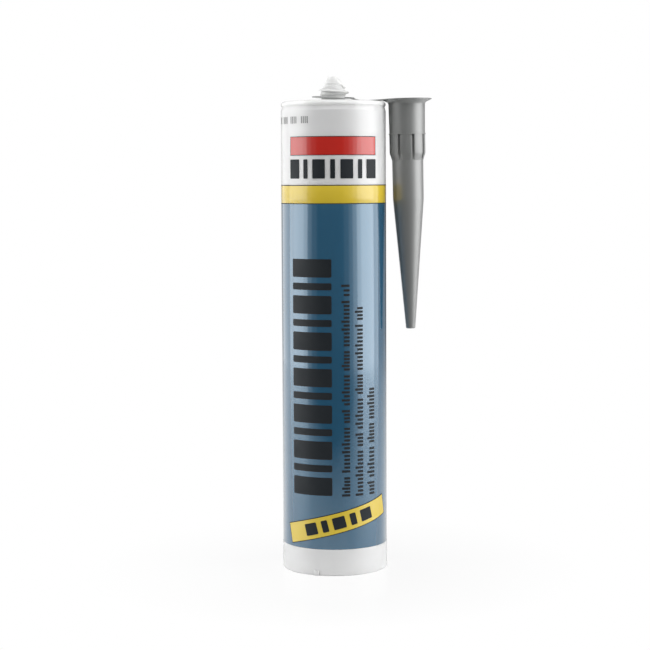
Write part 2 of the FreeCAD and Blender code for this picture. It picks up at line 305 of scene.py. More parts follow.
def mould_skin():
    """Shared group: orange peel, faint flow marks and the roughness they bring."""
    group = bpy.data.node_groups.new("mould_skin", "ShaderNodeTree")
    sockets = group.interface
    sockets.new_socket("Vector", in_out="INPUT", socket_type="NodeSocketVector")
    for label, value in (("Peel size", 900.0), ("Peel depth", 0.2), ("Flow depth", 0.1),
                         ("Roughness low", 0.25), ("Roughness high", 0.4)):
        socket = sockets.new_socket(label, in_out="INPUT", socket_type="NodeSocketFloat")
        socket.default_value = value
    sockets.new_socket("Roughness", in_out="OUTPUT", socket_type="NodeSocketFloat")
    sockets.new_socket("Cloud", in_out="OUTPUT", socket_type="NodeSocketFloat")
    sockets.new_socket("Normal", in_out="OUTPUT", socket_type="NodeSocketVector")
    new = group.nodes.new
    link = group.links.new
    inputs = new("NodeGroupInput")
    outputs = new("NodeGroupOutput")
    peel = new("ShaderNodeTexNoise")
    peel.inputs["Detail"].default_value = 2.0
    link(inputs.outputs["Vector"], peel.inputs["Vector"])
    link(inputs.outputs["Peel size"], peel.inputs["Scale"])
    stretch = new("ShaderNodeMapping")
    stretch.inputs["Scale"].default_value = (60, 60, 9)
    link(inputs.outputs["Vector"], stretch.inputs["Vector"])
    flow = new("ShaderNodeTexNoise")
    flow.inputs["Scale"].default_value = 1.0
    flow.inputs["Detail"].default_value = 3.0
    link(stretch.outputs[0], flow.inputs["Vector"])
    cloud = new("ShaderNodeTexNoise")
    cloud.inputs["Scale"].default_value = 70.0
    cloud.inputs["Detail"].default_value = 4.0
    link(inputs.outputs["Vector"], cloud.inputs["Vector"])
    spread = new("ShaderNodeMapRange")
    spread.inputs["From Min"].default_value = 0.3
    spread.inputs["From Max"].default_value = 0.7
    link(cloud.outputs["Fac"], spread.inputs["Value"])
    link(inputs.outputs["Roughness low"], spread.inputs["To Min"])
    link(inputs.outputs["Roughness high"], spread.inputs["To Max"])
    long_bump = new("ShaderNodeBump")
    long_bump.inputs["Distance"].default_value = 0.0002
    link(inputs.outputs["Flow depth"], long_bump.inputs["Strength"])
    link(flow.outputs["Fac"], long_bump.inputs["Height"])
    fine_bump = new("ShaderNodeBump")
    fine_bump.inputs["Distance"].default_value = 0.00005
    link(inputs.outputs["Peel depth"], fine_bump.inputs["Strength"])
    link(peel.outputs["Fac"], fine_bump.inputs["Height"])
    link(long_bump.outputs[0], fine_bump.inputs["Normal"])
    link(spread.outputs[0], outputs.inputs["Roughness"])
    link(cloud.outputs["Fac"], outputs.inputs["Cloud"])
    link(fine_bump.outputs[0], outputs.inputs["Normal"])
    return group


MOULD_SKIN = mould_skin()


def plastic(name, colour, shade, low, high, peel=0.2, flow=0.1, peel_size=900.0, varnish=0.0, shine=0.5):
    """Moulded or printed plastic: colour that drifts to a near shade, skin from the mould."""
    material = bpy.data.materials.new(name)
    material.use_nodes = True
    tree = material.node_tree
    shader = tree.nodes["Principled BSDF"]
    shader.inputs["Coat Weight"].default_value = varnish
    shader.inputs["Coat Roughness"].default_value = COAT_ROUGHNESS
    shader.inputs["Coat IOR"].default_value = COAT_IOR
    shader.inputs["Specular IOR Level"].default_value = shine
    where = tree.nodes.new("ShaderNodeTexCoord")
    skin = tree.nodes.new("ShaderNodeGroup")
    skin.node_tree = MOULD_SKIN
    skin.inputs["Peel size"].default_value = peel_size
    skin.inputs["Peel depth"].default_value = peel
    skin.inputs["Flow depth"].default_value = flow
    skin.inputs["Roughness low"].default_value = low
    skin.inputs["Roughness high"].default_value = high
    tint = tree.nodes.new("ShaderNodeMix")
    tint.data_type = "RGBA"
    tint.inputs["A"].default_value = colour
    tint.inputs["B"].default_value = shade
    tree.links.new(where.outputs["Object"], skin.inputs["Vector"])
    tree.links.new(skin.outputs["Cloud"], tint.inputs["Factor"])
    tree.links.new(tint.outputs["Result"], shader.inputs["Base Color"])
    tree.links.new(skin.outputs["Roughness"], shader.inputs["Roughness"])
    tree.links.new(skin.outputs["Normal"], shader.inputs["Normal"])
    return material


spigot_bore = [
    (0, TOP_Z - 1.2, 0),
    (1.5, TOP_Z - 1.2, 0.3),
    (2.5, TIP_Z, 0),
    (SPIGOT_BORE_R, TIP_Z - 1.5, 0),
    (SPIGOT_BORE_R, HEAD_Z, 0),
]
shell_outline = [
    (REAR_R, 0, 0.15),
    (FOOT_R, 0, 0.5),
    (FOOT_R, FOOT_TOP, 0.2),
    (TUBE_R, FOOT_TOP + 0.3, 0),
    (TUBE_R, GROOVE_Z, 0.5),
    (TUBE_R - GROOVE_DEPTH, GROOVE_Z + 1.5, 0.15),
    (TUBE_R - GROOVE_DEPTH, BEAD_Z - 1.0, 0.15),
    (TUBE_R, BEAD_Z - 0.4, 0.4),
    (TUBE_R, SHOULDER_Z, 1.52),
    (TUBE_R - 1.6, SHOULDER_Z, 0),
    (21.5, SHOULDER_Z, 0.1),
    (21.3, NECK_Z, 0.1),
    (NECK_R, NECK_Z, 0.3),
    (NECK_R, THREAD_Z - 0.2, 0),
    (6.2, THREAD_Z, 0),
    (4.6, TIP_Z - 0.6, 0.3),
    (3.8, TIP_Z, 0.2),
    (4.1, TIP_Z + 0.5, 0.2),
    (2.35, TOP_Z, 0.5),
    (0, TOP_Z, 0),
] + spigot_bore + [
    (BORE_R, HEAD_Z, 1.2),
    (BORE_R, 12.8, 0),
    (REAR_R, 12.0, 0),
]
cartridge_shell = turned("cartridge_shell", shell_outline)
white_plastic = plastic("white_polyethylene", BODY_WHITE, BODY_SHADE, 0.14, 0.24, shine=0.4)
white_shader = white_plastic.node_tree.nodes["Principled BSDF"]
white_shader.inputs["Subsurface Weight"].default_value = 0.6
white_shader.inputs["Subsurface Radius"].default_value = (1.0, 1.0, 0.95)
white_shader.inputs["Subsurface Scale"].default_value = 0.006
tree = white_plastic.node_tree
where = tree.nodes.new("ShaderNodeTexCoord")
height = tree.nodes.new("ShaderNodeSeparateXYZ")
tree.links.new(where.outputs["Object"], height.inputs[0])
spigot_share = tree.nodes.new("ShaderNodeMapRange")
spigot_share.inputs["From Min"].default_value = NECK_Z * MM
spigot_share.inputs["From Max"].default_value = (NECK_Z + 2.0) * MM
tree.links.new(height.outputs["Z"], spigot_share.inputs["Value"])
duller = tree.nodes.new("ShaderNodeMath")
duller.operation = "MULTIPLY_ADD"
duller.inputs[1].default_value = SPIGOT_DULLNESS
tree.links.new(spigot_share.outputs[0], duller.inputs[0])
tree.links.new(white_shader.inputs["Roughness"].links[0].from_socket, duller.inputs[2])
tree.links.new(duller.outputs[0], white_shader.inputs["Roughness"])
gloss = tree.nodes.new("ShaderNodeMath")
gloss.operation = "MULTIPLY_ADD"
gloss.inputs[1].default_value = -WALL_GLOSS
gloss.inputs[2].default_value = WALL_GLOSS
tree.links.new(spigot_share.outputs[0], gloss.inputs[0])
tree.links.new(gloss.outputs[0], white_shader.inputs["Coat Weight"])
# Painted shade: above the neck the colour is mixed towards a darker white.
spigot_shade_paint = tree.nodes.new("ShaderNodeMix")
spigot_shade_paint.data_type = "RGBA"
spigot_shade_paint.inputs["B"].default_value = SPIGOT_PAINTED_SHADE
tree.links.new(spigot_share.outputs[0], spigot_shade_paint.inputs["Factor"])
tree.links.new(white_shader.inputs["Base Color"].links[0].from_socket, spigot_shade_paint.inputs["A"])
tree.links.new(spigot_shade_paint.outputs["Result"], white_shader.inputs["Base Color"])
cartridge_shell.data.materials.append(white_plastic)
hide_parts("cartridge_body")
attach(cartridge_shell, "cartridge")

# --- Thread of the spigot ---
# A coarse right-hand ridge winds up the spigot and dies away into a cone near
# the tip. It is part of the same white moulding.


def number_input(tree, label, value, kind="NodeSocketFloat"):
    """Named input of a node tree with its starting value."""
    socket = tree.interface.new_socket(label, in_out="INPUT", socket_type=kind)
    if value is not None:
        socket.default_value = value


def sum_of(tree, operation, first, second):
    """Math node of two values, each a socket or a number; returns its output."""
    node = tree.nodes.new("ShaderNodeMath")
    node.operation = operation
    for socket, value in zip(node.inputs, (first, second)):
        if isinstance(value, (int, float)):
            socket.default_value = value
        else:
            tree.links.new(value, socket)
    return node.outputs[0]


def joined(tree, x, y, z):
    """Vector from three values, each a socket or a number."""
    node = tree.nodes.new("ShaderNodeCombineXYZ")
    for socket, value in zip(node.inputs, (x, y, z)):
        if isinstance(value, (int, float)):
            socket.default_value = value
        else:
            tree.links.new(value, socket)
    return node.outputs[0]


def ending(tree, geometry, material):
    """Last nodes of every tree: real faces, and the piece's material."""
    tree.interface.new_socket("Geometry", in_out="OUTPUT", socket_type="NodeSocketGeometry")
    real = tree.nodes.new("GeometryNodeRealizeInstances")
    paint = tree.nodes.new("GeometryNodeSetMaterial")
    out = tree.nodes.new("NodeGroupOutput")
    tree.links.new(geometry, real.inputs[0])
    tree.links.new(real.outputs[0], paint.inputs["Geometry"])
    tree.links.new(material, paint.inputs["Material"])
    tree.links.new(paint.outputs[0], out.inputs[0])


def winding_ridge():
    """Ridge that winds up a round core, its crest held inside a cone."""
    tree = bpy.data.node_groups.new("winding_ridge", "GeometryNodeTree")
    for label, value in (("Core radius", 0.0054), ("Crest radius", 0.0075), ("Pitch", 0.0023),
                         ("Rise", 0.0033), ("Foot width", 0.0016), ("Crest width", 0.0006),
                         ("First angle", 0.0), ("Cone radius", 1.0), ("Cone height", 0.0),
                         ("Cone slope", 0.0)):
        number_input(tree, label, value)
    number_input(tree, "Material", None, "NodeSocketMaterial")
    new = tree.nodes.new
    link = tree.links.new
    inputs = new("NodeGroupInput")
    path = new("GeometryNodeCurveSpiral")
    path.inputs["Resolution"].default_value = 72
    link(sum_of(tree, "DIVIDE", inputs.outputs["Rise"], inputs.outputs["Pitch"]), path.inputs["Rotations"])
    link(inputs.outputs["Core radius"], path.inputs["Start Radius"])
    link(inputs.outputs["Core radius"], path.inputs["End Radius"])
    link(inputs.outputs["Rise"], path.inputs["Height"])
    upright = new("GeometryNodeSetCurveNormal")
    upright.mode = "Z_UP"
    link(path.outputs[0], upright.inputs["Curve"])
    depth = sum_of(tree, "SUBTRACT", inputs.outputs["Core radius"], inputs.outputs["Crest radius"])
    foot = sum_of(tree, "MULTIPLY", inputs.outputs["Foot width"], 0.5)
    crest = sum_of(tree, "MULTIPLY", inputs.outputs["Crest width"], 0.5)
    section = new("GeometryNodeCurvePrimitiveQuadrilateral")
    section.mode = "POINTS"
    link(joined(tree, 0.0, sum_of(tree, "MULTIPLY", foot, -1.0), 0.0), section.inputs["Point 1"])
    link(joined(tree, depth, sum_of(tree, "MULTIPLY", crest, -1.0), 0.0), section.inputs["Point 2"])
    link(joined(tree, depth, crest, 0.0), section.inputs["Point 3"])
    link(joined(tree, 0.0, foot, 0.0), section.inputs["Point 4"])
    sweep = new("GeometryNodeCurveToMesh")
    sweep.inputs["Fill Caps"].default_value = True
    link(upright.outputs[0], sweep.inputs["Curve"])
    link(section.outputs[0], sweep.inputs["Profile Curve"])
    place = new("GeometryNodeInputPosition")
    split = new("ShaderNodeSeparateXYZ")
    link(place.outputs[0], split.inputs[0])
    flat = new("ShaderNodeVectorMath")
    flat.operation = "LENGTH"
    link(joined(tree, split.outputs["X"], split.outputs["Y"], 0.0), flat.inputs[0])
    above = sum_of(tree, "SUBTRACT", inputs.outputs["Cone height"], split.outputs["Z"])
    room = sum_of(tree, "MULTIPLY", above, inputs.outputs["Cone slope"])
    limit = sum_of(tree, "ADD", inputs.outputs["Cone radius"], room)
    kept = sum_of(tree, "MINIMUM", flat.outputs["Value"], limit)
    scale = sum_of(tree, "DIVIDE", kept, flat.outputs["Value"])
    shape = new("GeometryNodeSetPosition")
    link(sweep.outputs[0], shape.inputs["Geometry"])
    held_x = sum_of(tree, "MULTIPLY", split.outputs["X"], scale)
    held_y = sum_of(tree, "MULTIPLY", split.outputs["Y"], scale)
    link(joined(tree, held_x, held_y, split.outputs["Z"]), shape.inputs["Position"])
    turned_round = new("GeometryNodeTransform")
    link(shape.outputs[0], turned_round.inputs["Geometry"])
    link(joined(tree, 0.0, 0.0, inputs.outputs["First angle"]), turned_round.inputs["Rotation"])
    ending(tree, turned_round.outputs[0], inputs.outputs["Material"])
    return tree


def grown(name, tree, values, source=None, place=Matrix(), crease=32.0):
    """Piece that a node tree makes from the sizes given, as a plain mesh at its place."""
    maker = bpy.data.objects.new(name + "_maker", source or bpy.data.meshes.new(name + "_maker"))
    scene.collection.objects.link(maker)
    growth = maker.modifiers.new("growth", "NODES")
    growth.node_group = tree
    for item in tree.interface.items_tree:
        if item.item_type == "SOCKET" and item.in_out == "INPUT" and item.name in values:
            growth[item.identifier] = values[item.name]
    mesh = bpy.data.meshes.new_from_object(maker.evaluated_get(bpy.context.evaluated_depsgraph_get()))
    maker.modifiers.clear()
    bpy.data.objects.remove(maker)
    mesh.transform(place)
    shape = bmesh.new()
    shape.from_mesh(mesh)
    piece = as_piece(name, shape, crease)
    piece.data.materials.append(values["Material"])
    bpy.data.meshes.remove(mesh)
    return piece


RIDGE = winding_ridge()
PITCH = 2.3
RIDGE_FOOT = 2.0
RIDGE_CREST = 0.6
THREAD_FROM = math.radians(40.0)
THREAD_HEIGHT = TIP_Z - THREAD_Z
spigot_thread = grown("spigot_thread", RIDGE, {
    "Core radius": 4.3 * MM,
    "Crest radius": 7.5 * MM,
    "Pitch": PITCH * MM,
    "Rise": (THREAD_HEIGHT - RIDGE_FOOT) * MM,
    "Foot width": RIDGE_FOOT * MM,
    "Crest width": RIDGE_CREST * MM,
    "First angle": THREAD_FROM,
    "Cone radius": 5.0 * MM,
    "Cone height": (THREAD_HEIGHT - RIDGE_FOOT / 2) * MM,
    "Cone slope": 2.5 / 3.55,
    "Material": white_plastic,
}, place=Matrix.Translation((0, 0, (THREAD_Z + RIDGE_FOOT / 2) * MM)))
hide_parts("cartridge_body")
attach(spigot_thread, "cartridge")

# --- Lug on the foot ---
# The mould's gate leaves a small square lug on the outside of the foot, at the
# front left. It is the same white moulding.
LUG_DEEP = 1.15
LUG_WIDE = 2.4
LUG_AZIMUTH = -20.7
LUG_MIDDLE_R = 24.825


def soften(shape, edges, rounding, segments):
    """Round some edges of a shape, by so many millimetres."""
    bmesh.ops.bevel(shape, geom=edges, offset=rounding * MM, segments=segments, profile=0.5,
                    affect="EDGES")


def soft_block(deep, wide, high, rounding, segments):
    """Block about the origin, in millimetres, with softened edges."""
    block = bmesh.new()
    bmesh.ops.create_cube(block, size=1.0)
    bmesh.ops.scale(block, verts=block.verts, vec=(deep * MM, wide * MM, high * MM))
    soften(block, block.edges, rounding, segments)
    return block


lug_shape = soft_block(LUG_DEEP, LUG_WIDE, LUG_WIDE, 0.25, 3)
lug_turn = Matrix.Rotation(math.radians(LUG_AZIMUTH - 90), 4, "Z")
lug_place = lug_turn @ Matrix.Translation((LUG_MIDDLE_R * MM, 0, LUG_WIDE / 2 * MM))
bmesh.ops.transform(lug_shape, matrix=lug_place, verts=lug_shape.verts)
foot_lug = as_piece("foot_lug", lug_shape)
foot_lug.data.materials.append(white_plastic)
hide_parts("cartridge_body")
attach(foot_lug, "cartridge")

# --- Blue field and yellow band ---
# Two flat fields of ink run right round the wall, with a dark line along each
# edge of the yellow one. A clear varnish over the print makes it glossy.
INK = 0.1
INK_R = TUBE_R + INK
BLUE_LOW = 12.45
BLUE_TOP = 173.2
YELLOW_TOP = 181.6
BAND_LINE = 0.4
PRINT_SKIN = {"peel": 0.05, "flow": 0.06}
blue_ink = plastic("blue_ink", (0.015, 0.090, 0.168, 1), (0.012, 0.080, 0.154, 1), 0.10, 0.16,
                   varnish=1.0, shine=1.0, **PRINT_SKIN)
blue_ink.node_tree.nodes["Principled BSDF"].inputs["Specular Tint"].default_value = (0.55, 0.80, 1.0, 1)
yellow_ink = plastic("yellow_ink", (0.71, 0.53, 0.045, 1), (0.68, 0.50, 0.04, 1), 0.10, 0.16,
                     varnish=0.7, shine=0.3, **PRINT_SKIN)
dark_ink = plastic("dark_ink", (0.008, 0.012, 0.016, 1), (0.012, 0.016, 0.020, 1), 0.45, 0.60,
                   shine=0.3, **PRINT_SKIN)


def ink_ring(name, low, high, material, node):
    """Ring of ink right round the wall between two heights."""
    section = [(TUBE_R, low, 0), (INK_R, low, 0.03), (INK_R, high, 0.03), (TUBE_R, high, 0)]
    ring = turned(name, section, steps=2)
    ring.data.materials.append(material)
    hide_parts(node)
    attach(ring, "cartridge")


ink_ring("blue_field", BLUE_LOW, BLUE_TOP - BAND_LINE, blue_ink, "print_blue_field")
ink_ring("yellow_band", BLUE_TOP, YELLOW_TOP - BAND_LINE, yellow_ink, "print_yellow_band")
ink_ring("band_line_low", BLUE_TOP - BAND_LINE, BLUE_TOP, dark_ink, "print_blue_field")
ink_ring("band_line_high", YELLOW_TOP - BAND_LINE, YELLOW_TOP, dark_ink, "print_yellow_band")

# --- Red bar, tilted strip and dark bars ---
# The rest of the print is flat patches of ink on the wall: a red bar, a tilted
# yellow strip, and plain dark bars and strokes where the lettering was.


def wall_print():
    """Flat sheet of ink in the XZ plane, given its thickness and wrapped round the wall."""
    tree = bpy.data.node_groups.new("wall_print", "GeometryNodeTree")
    number_input(tree, "Geometry", None, "NodeSocketGeometry")
    number_input(tree, "Wall radius", TUBE_R * MM)
    number_input(tree, "Ink radius", TUBE_R * MM)
    number_input(tree, "Ink thickness", INK * MM)
    number_input(tree, "Material", None, "NodeSocketMaterial")
    new = tree.nodes.new
    link = tree.links.new
    inputs = new("NodeGroupInput")
    rise = new("GeometryNodeExtrudeMesh")
    rise.inputs["Individual"].default_value = False
    link(inputs.outputs["Geometry"], rise.inputs["Mesh"])
    link(inputs.outputs["Ink thickness"], rise.inputs["Offset Scale"])
    back = new("GeometryNodeFlipFaces")
    link(inputs.outputs["Geometry"], back.inputs[0])
    both = new("GeometryNodeJoinGeometry")
    link(rise.outputs[0], both.inputs[0])
    link(back.outputs[0], both.inputs[0])
    merged = new("GeometryNodeMergeByDistance")
    merged.inputs["Distance"].default_value = 0.000005
    link(both.outputs[0], merged.inputs["Geometry"])
    place = new("GeometryNodeInputPosition")
    split = new("ShaderNodeSeparateXYZ")
    link(place.outputs[0], split.inputs[0])
    reach = sum_of(tree, "SUBTRACT", inputs.outputs["Ink radius"], split.outputs["Y"])
    angle = sum_of(tree, "DIVIDE", split.outputs["X"], inputs.outputs["Wall radius"])
    across = sum_of(tree, "MULTIPLY", reach, sum_of(tree, "SINE", angle, 0.0))
    ahead = sum_of(tree, "MULTIPLY", reach, sum_of(tree, "COSINE", angle, 0.0))
    shape = new("GeometryNodeSetPosition")
    link(merged.outputs[0], shape.inputs["Geometry"])
    forward = sum_of(tree, "MULTIPLY", ahead, -1.0)
    link(joined(tree, across, forward, split.outputs["Z"]), shape.inputs["Position"])
    ending(tree, shape.outputs[0], inputs.outputs["Material"])
    return tree


WALL_PRINT = wall_print()


def bar(left, low, width, height, corner=0.35, tilt=0.0, pivot=(0, 0)):
    """Outline of a bar on the wall, in millimetres along it and up, with soft corners."""
    points = []
    for x, z, start in ((width - corner, height - corner, 0), (corner, height - corner, 90),
                        (corner, corner, 180), (width - corner, corner, 270)):
        for step in range(5):
            angle = math.radians(start + 22.5 * step)
            points.append((left + x + corner * math.cos(angle), low + z + corner * math.sin(angle)))
    cos_tilt, sin_tilt = math.cos(math.radians(tilt)), math.sin(math.radians(tilt))
    return [(pivot[0] + x * cos_tilt - z * sin_tilt, pivot[1] + x * sin_tilt + z * cos_tilt)
            for x, z in points]


def printed(name, bars, material, node, layer=0.0, share=1.0):
    """Bars of one ink laid on the wall, or on the ink under them."""
    sheet = bmesh.new()
    for outline in bars:
        sheet.faces.new([sheet.verts.new((x * MM, 0, z * MM)) for x, z in outline])
    lowest = min(x for outline in bars for x, z in outline)
    highest = max(x for outline in bars for x, z in outline)
    cuts = int((highest - lowest) / 1.0)
    for i in range(1, cuts + 1):
        everything = sheet.verts[:] + sheet.edges[:] + sheet.faces[:]
        x = (lowest + (highest - lowest) * i / (cuts + 1)) * MM
        bmesh.ops.bisect_plane(sheet, geom=everything, plane_co=(x, 0, 0), plane_no=(1, 0, 0))
    bmesh.ops.recalc_face_normals(sheet, faces=sheet.faces)
    for face in sheet.faces:
        if face.normal.y > 0:
            face.normal_flip()
    flat = bpy.data.meshes.new(name + "_sheet")
    sheet.to_mesh(flat)
    sheet.free()
    piece = grown(name, WALL_PRINT, {
        "Wall radius": TUBE_R * MM,
        "Ink radius": (TUBE_R + layer * INK) * MM,
        "Ink thickness": INK * share * MM,
        "Material": material,
    }, source=flat)
    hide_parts(node)
    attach(piece, "cartridge")


def along(azimuth):
    """Distance along the wall from the front, in millimetres, of an azimuth in degrees."""
    return math.radians(azimuth) * TUBE_R


def row_of_bars(total, wide, narrow, count):
    """Starts and lengths of bars, wide and narrow in turn, that fill a row."""
    lengths = [wide if i % 2 == 0 else narrow for i in range(count)]
    gap = (total - sum(lengths)) / (count - 1)
    return [(sum(lengths[:i]) + gap * i, lengths[i]) for i in range(count)]


red_ink = plastic("red_ink", (0.55, 0.020, 0.012, 1), (0.52, 0.017, 0.010, 1), 0.10, 0.16,
                  varnish=0.6, shine=0.5, **PRINT_SKIN)
RED_FROM = along(-54.1)
RED_TO = along(51.7)
RED_LOW = 195.1
RED_TOP = 203.8
RED_LINE = 0.3
red_height = RED_TOP - RED_LOW
red_width = RED_TO - RED_FROM
red_field = bar(RED_FROM + RED_LINE, RED_LOW + RED_LINE,
                red_width - 2 * RED_LINE, red_height - 2 * RED_LINE, 0.1)
printed("red_bar", [red_field], red_ink, "print_red_bar")
red_edge = bar(RED_FROM, RED_LOW, red_width, red_height, 0.1)
printed("red_bar_line", [red_edge], dark_ink, "print_red_bar", share=0.6)

HEADER_LOW = 184.5
HEADER_HIGH = 8.8
HEADER_WIDE = 6.0
HEADER_NARROW = 2.2
header = [bar(RED_FROM + start, HEADER_LOW, length, HEADER_HIGH)
          for start, length in row_of_bars(red_width, HEADER_WIDE, HEADER_NARROW, 7)]
printed("header_bars", header, dark_ink, "print_header_bars")

grey_ink = plastic("grey_ink", (0.16, 0.16, 0.16, 1), (0.24, 0.24, 0.24, 1), 0.3, 0.4, **PRINT_SKIN)
CODE_FROM = -80.0
CODE_GROUPS = (2.6, 4.6, 4.6, 4.2)
CODE_GAP = 2.2
CODE_LOW = 209.8
CODE_HIGH = 3.2
CODE_STROKE = 0.42
CODE_PITCH = 1.05
code = []
reach = along(CODE_FROM)
for length in CODE_GROUPS:
    strokes = round(length / CODE_PITCH)
    code += [bar(reach + i * length / strokes, CODE_LOW, CODE_STROKE, CODE_HIGH, 0.12)
             for i in range(strokes)]
    reach += length + CODE_GAP
printed("code_strokes", code, grey_ink, "print_header_bars")

TITLE_WIDE = 8.4
TITLE_NARROW = 3.2
title_low, title_high = 37.8, 147.6
title_left, title_right = along(-50.5), along(-3.0)
title = [bar(title_left, title_low + start, title_right - title_left, length, 0.6)
         for start, length in row_of_bars(title_high - title_low, TITLE_WIDE, TITLE_NARROW, 13)]
printed("title_bars", title, dark_ink, "print_title_bars", layer=1.5, share=0.5)

TEXT_ROWS = [(7.5, 16.5, 37.4, 135.9), (22.7, 32.0, 37.4, 127.8), (37.8, 48.0, 37.4, 87.4)]
TEXT_WORDS = [9.0, 21.0, 6.0, 14.0]
WORD_GAP = 2.2
STROKE = 1.05
STROKE_PITCH = 1.75
SHORT_STROKE = 0.28
text = []
for row, (left, right, low, high) in enumerate(TEXT_ROWS):
    wide = along(right) - along(left)
    z = low
    word = row
    while z < high - WORD_GAP:
        length = min(TEXT_WORDS[word % len(TEXT_WORDS)], high - z)
        strokes = max(1, round((length + STROKE_PITCH - STROKE) / STROKE_PITCH))
        for i in range(strokes):
            tall = (i * 5 + word * 3) % 7 in (0, 3)
            start = z + i * (length - STROKE) / max(1, strokes - 1)
            inset = 0.0 if tall else wide * SHORT_STROKE
            text.append(bar(along(left) + inset, start, wide - inset, STROKE, 0.2))
        z += length + WORD_GAP
        word += 1
printed("text_strokes", text, dark_ink, "print_text_bars", layer=1.5, share=0.5)

STRIP_PIVOT = (along(4.4), 25.1)
STRIP_TILT = 14.2
STRIP_LONG = 54.4
STRIP_HIGH = 9.75
STRIP_LINE = 0.35
STRIP_BARS = (6.0, 3.0, 6.0, 3.0, 6.0)
STRIP_GAP = 2.4
STRIP_BAR_HIGH = 5.6


def strip_patch(long, high, middle=0.0, corner=0.15):
    """Bar on the strip's own line, its middle so far along it."""
    return bar(middle - long / 2, -high / 2, long, high, corner, STRIP_TILT, STRIP_PIVOT)


printed("strip_line", [strip_patch(STRIP_LONG, STRIP_HIGH)], dark_ink, "print_yellow_strip",
        layer=1.5, share=0.3)
printed("yellow_strip", [strip_patch(STRIP_LONG - 2 * STRIP_LINE, STRIP_HIGH - 2 * STRIP_LINE)], yellow_ink,
        "print_yellow_strip", layer=1.5, share=0.5)
strip_bars = []
reach = -(sum(STRIP_BARS) + STRIP_GAP * (len(STRIP_BARS) - 1)) / 2
for length in STRIP_BARS:
    strip_bars.append(strip_patch(length, STRIP_BAR_HIGH, reach + length / 2, 0.5))
    reach += length + STRIP_GAP
printed("strip_bars", strip_bars, dark_ink, "print_strip_bars", layer=2.5, share=0.5)

# --- Sealant ---
# The charge of white paste fills the tube from the piston to the head, and a
# plug of it fills the spigot. In the real cartridge the charge shortens as the
# piston is pushed in.
CHARGE_LOW = 34.0
paste = plastic("sealant_paste", (0.82, 0.82, 0.80, 1), (0.76, 0.76, 0.74, 1), 0.45, 0.6, 0.5, 0.5, 300.0)
charge = turned("sealant_charge", [
    (0, CHARGE_LOW, 0),
    (BORE_R, CHARGE_LOW, 0),
    (BORE_R, HEAD_Z, 1.2),
    (0, HEAD_Z, 0),
])
charge.data.materials.append(paste)
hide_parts("sealant")
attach(charge, "cartridge")
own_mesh(charge)
plug = turned("spigot_plug", spigot_bore + [(0, HEAD_Z, 0)], segments=64)
plug.data.materials.append(paste)
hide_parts("sealant_neck_plug")
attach(plug, "cartridge")

# --- Piston ---
# A cup of natural polyethylene, moulded with two sealing lips, and with a hub and
# six ribs on its back that take the gun's push plate.
PISTON_Z = 15.0
PISTON_R = 23.24
LIP = 2.2
LIP_DEPTH = 0.7
groove_r = PISTON_R - LIP_DEPTH
cup_r = groove_r - 1.3
rib_base = CHARGE_LOW - 1.8
RIB_HEIGHT = 6.0
RIB_LONG = 18.0
RIB_THICK = 1.2
RIB_SINK = 0.4
RIB_MIDDLE_R = 12.6
HUB_R = 4.0
natural_plastic = plastic("natural_polyethylene", (0.76, 0.77, 0.74, 1), (0.70, 0.71, 0.68, 1), 0.34, 0.48,
                          peel=0.35, flow=0.3)
cup = turned("piston_cup", [
    (cup_r, PISTON_Z, 0),
    (PISTON_R, PISTON_Z, 0.2),
    (PISTON_R, PISTON_Z + LIP, 0.2),
    (groove_r, PISTON_Z + LIP + LIP_DEPTH, 0),
    (groove_r, CHARGE_LOW - LIP - LIP_DEPTH, 0),
    (PISTON_R, CHARGE_LOW - LIP, 0.2),
    (PISTON_R, CHARGE_LOW, 0.2),
    (0, CHARGE_LOW, 0),
    (0, rib_base, 0),
    (cup_r, rib_base, 0.8),
])
hub = turned("piston_hub", [
    (0, rib_base - RIB_HEIGHT, 0),
    (HUB_R, rib_base - RIB_HEIGHT, 0.4),
    (HUB_R, rib_base + RIB_SINK, 0),
    (0, rib_base + RIB_SINK, 0),
], segments=48)


def ring_of_pieces():
    """The source shape set round the Z axis a number of times."""
    tree = bpy.data.node_groups.new("ring_of_pieces", "GeometryNodeTree")
    number_input(tree, "Geometry", None, "NodeSocketGeometry")
    number_input(tree, "Count", 6, "NodeSocketInt")
    number_input(tree, "First angle", 0.0)
    number_input(tree, "Material", None, "NodeSocketMaterial")
    new = tree.nodes.new
    link = tree.links.new
    inputs = new("NodeGroupInput")
    points = new("GeometryNodePoints")
    link(inputs.outputs["Count"], points.inputs["Count"])
    index = new("GeometryNodeInputIndex")
    step = sum_of(tree, "DIVIDE", 2 * math.pi, inputs.outputs["Count"])
    turned_by = sum_of(tree, "MULTIPLY", index.outputs[0], step)
    angle = sum_of(tree, "ADD", turned_by, inputs.outputs["First angle"])
    facing = new("FunctionNodeEulerToRotation")
    link(joined(tree, 0.0, 0.0, angle), facing.inputs[0])
    ring = new("GeometryNodeInstanceOnPoints")
    link(points.outputs[0], ring.inputs["Points"])
    link(inputs.outputs["Geometry"], ring.inputs["Instance"])
    link(facing.outputs[0], ring.inputs["Rotation"])
    ending(tree, ring.outputs[0], inputs.outputs["Material"])
    return tree


RING = ring_of_pieces()
rib_shape = soft_block(RIB_LONG, RIB_THICK, RIB_HEIGHT + RIB_SINK, 0.2, 2)
rib_middle = rib_base - (RIB_HEIGHT - RIB_SINK) / 2
bmesh.ops.translate(rib_shape, verts=rib_shape.verts, vec=(RIB_MIDDLE_R * MM, 0, rib_middle * MM))
rib_mesh = bpy.data.meshes.new("piston_rib")
rib_shape.to_mesh(rib_mesh)
rib_shape.free()
ribs = grown("piston_ribs", RING, {
    "Count": 6,
    "First angle": 0.0,
    "Material": natural_plastic,
}, source=rib_mesh)
for piece in (cup, hub):
    piece.data.materials.append(natural_plastic)
for piece in (cup, hub, ribs):
    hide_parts("piston")
    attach(piece, "piston")

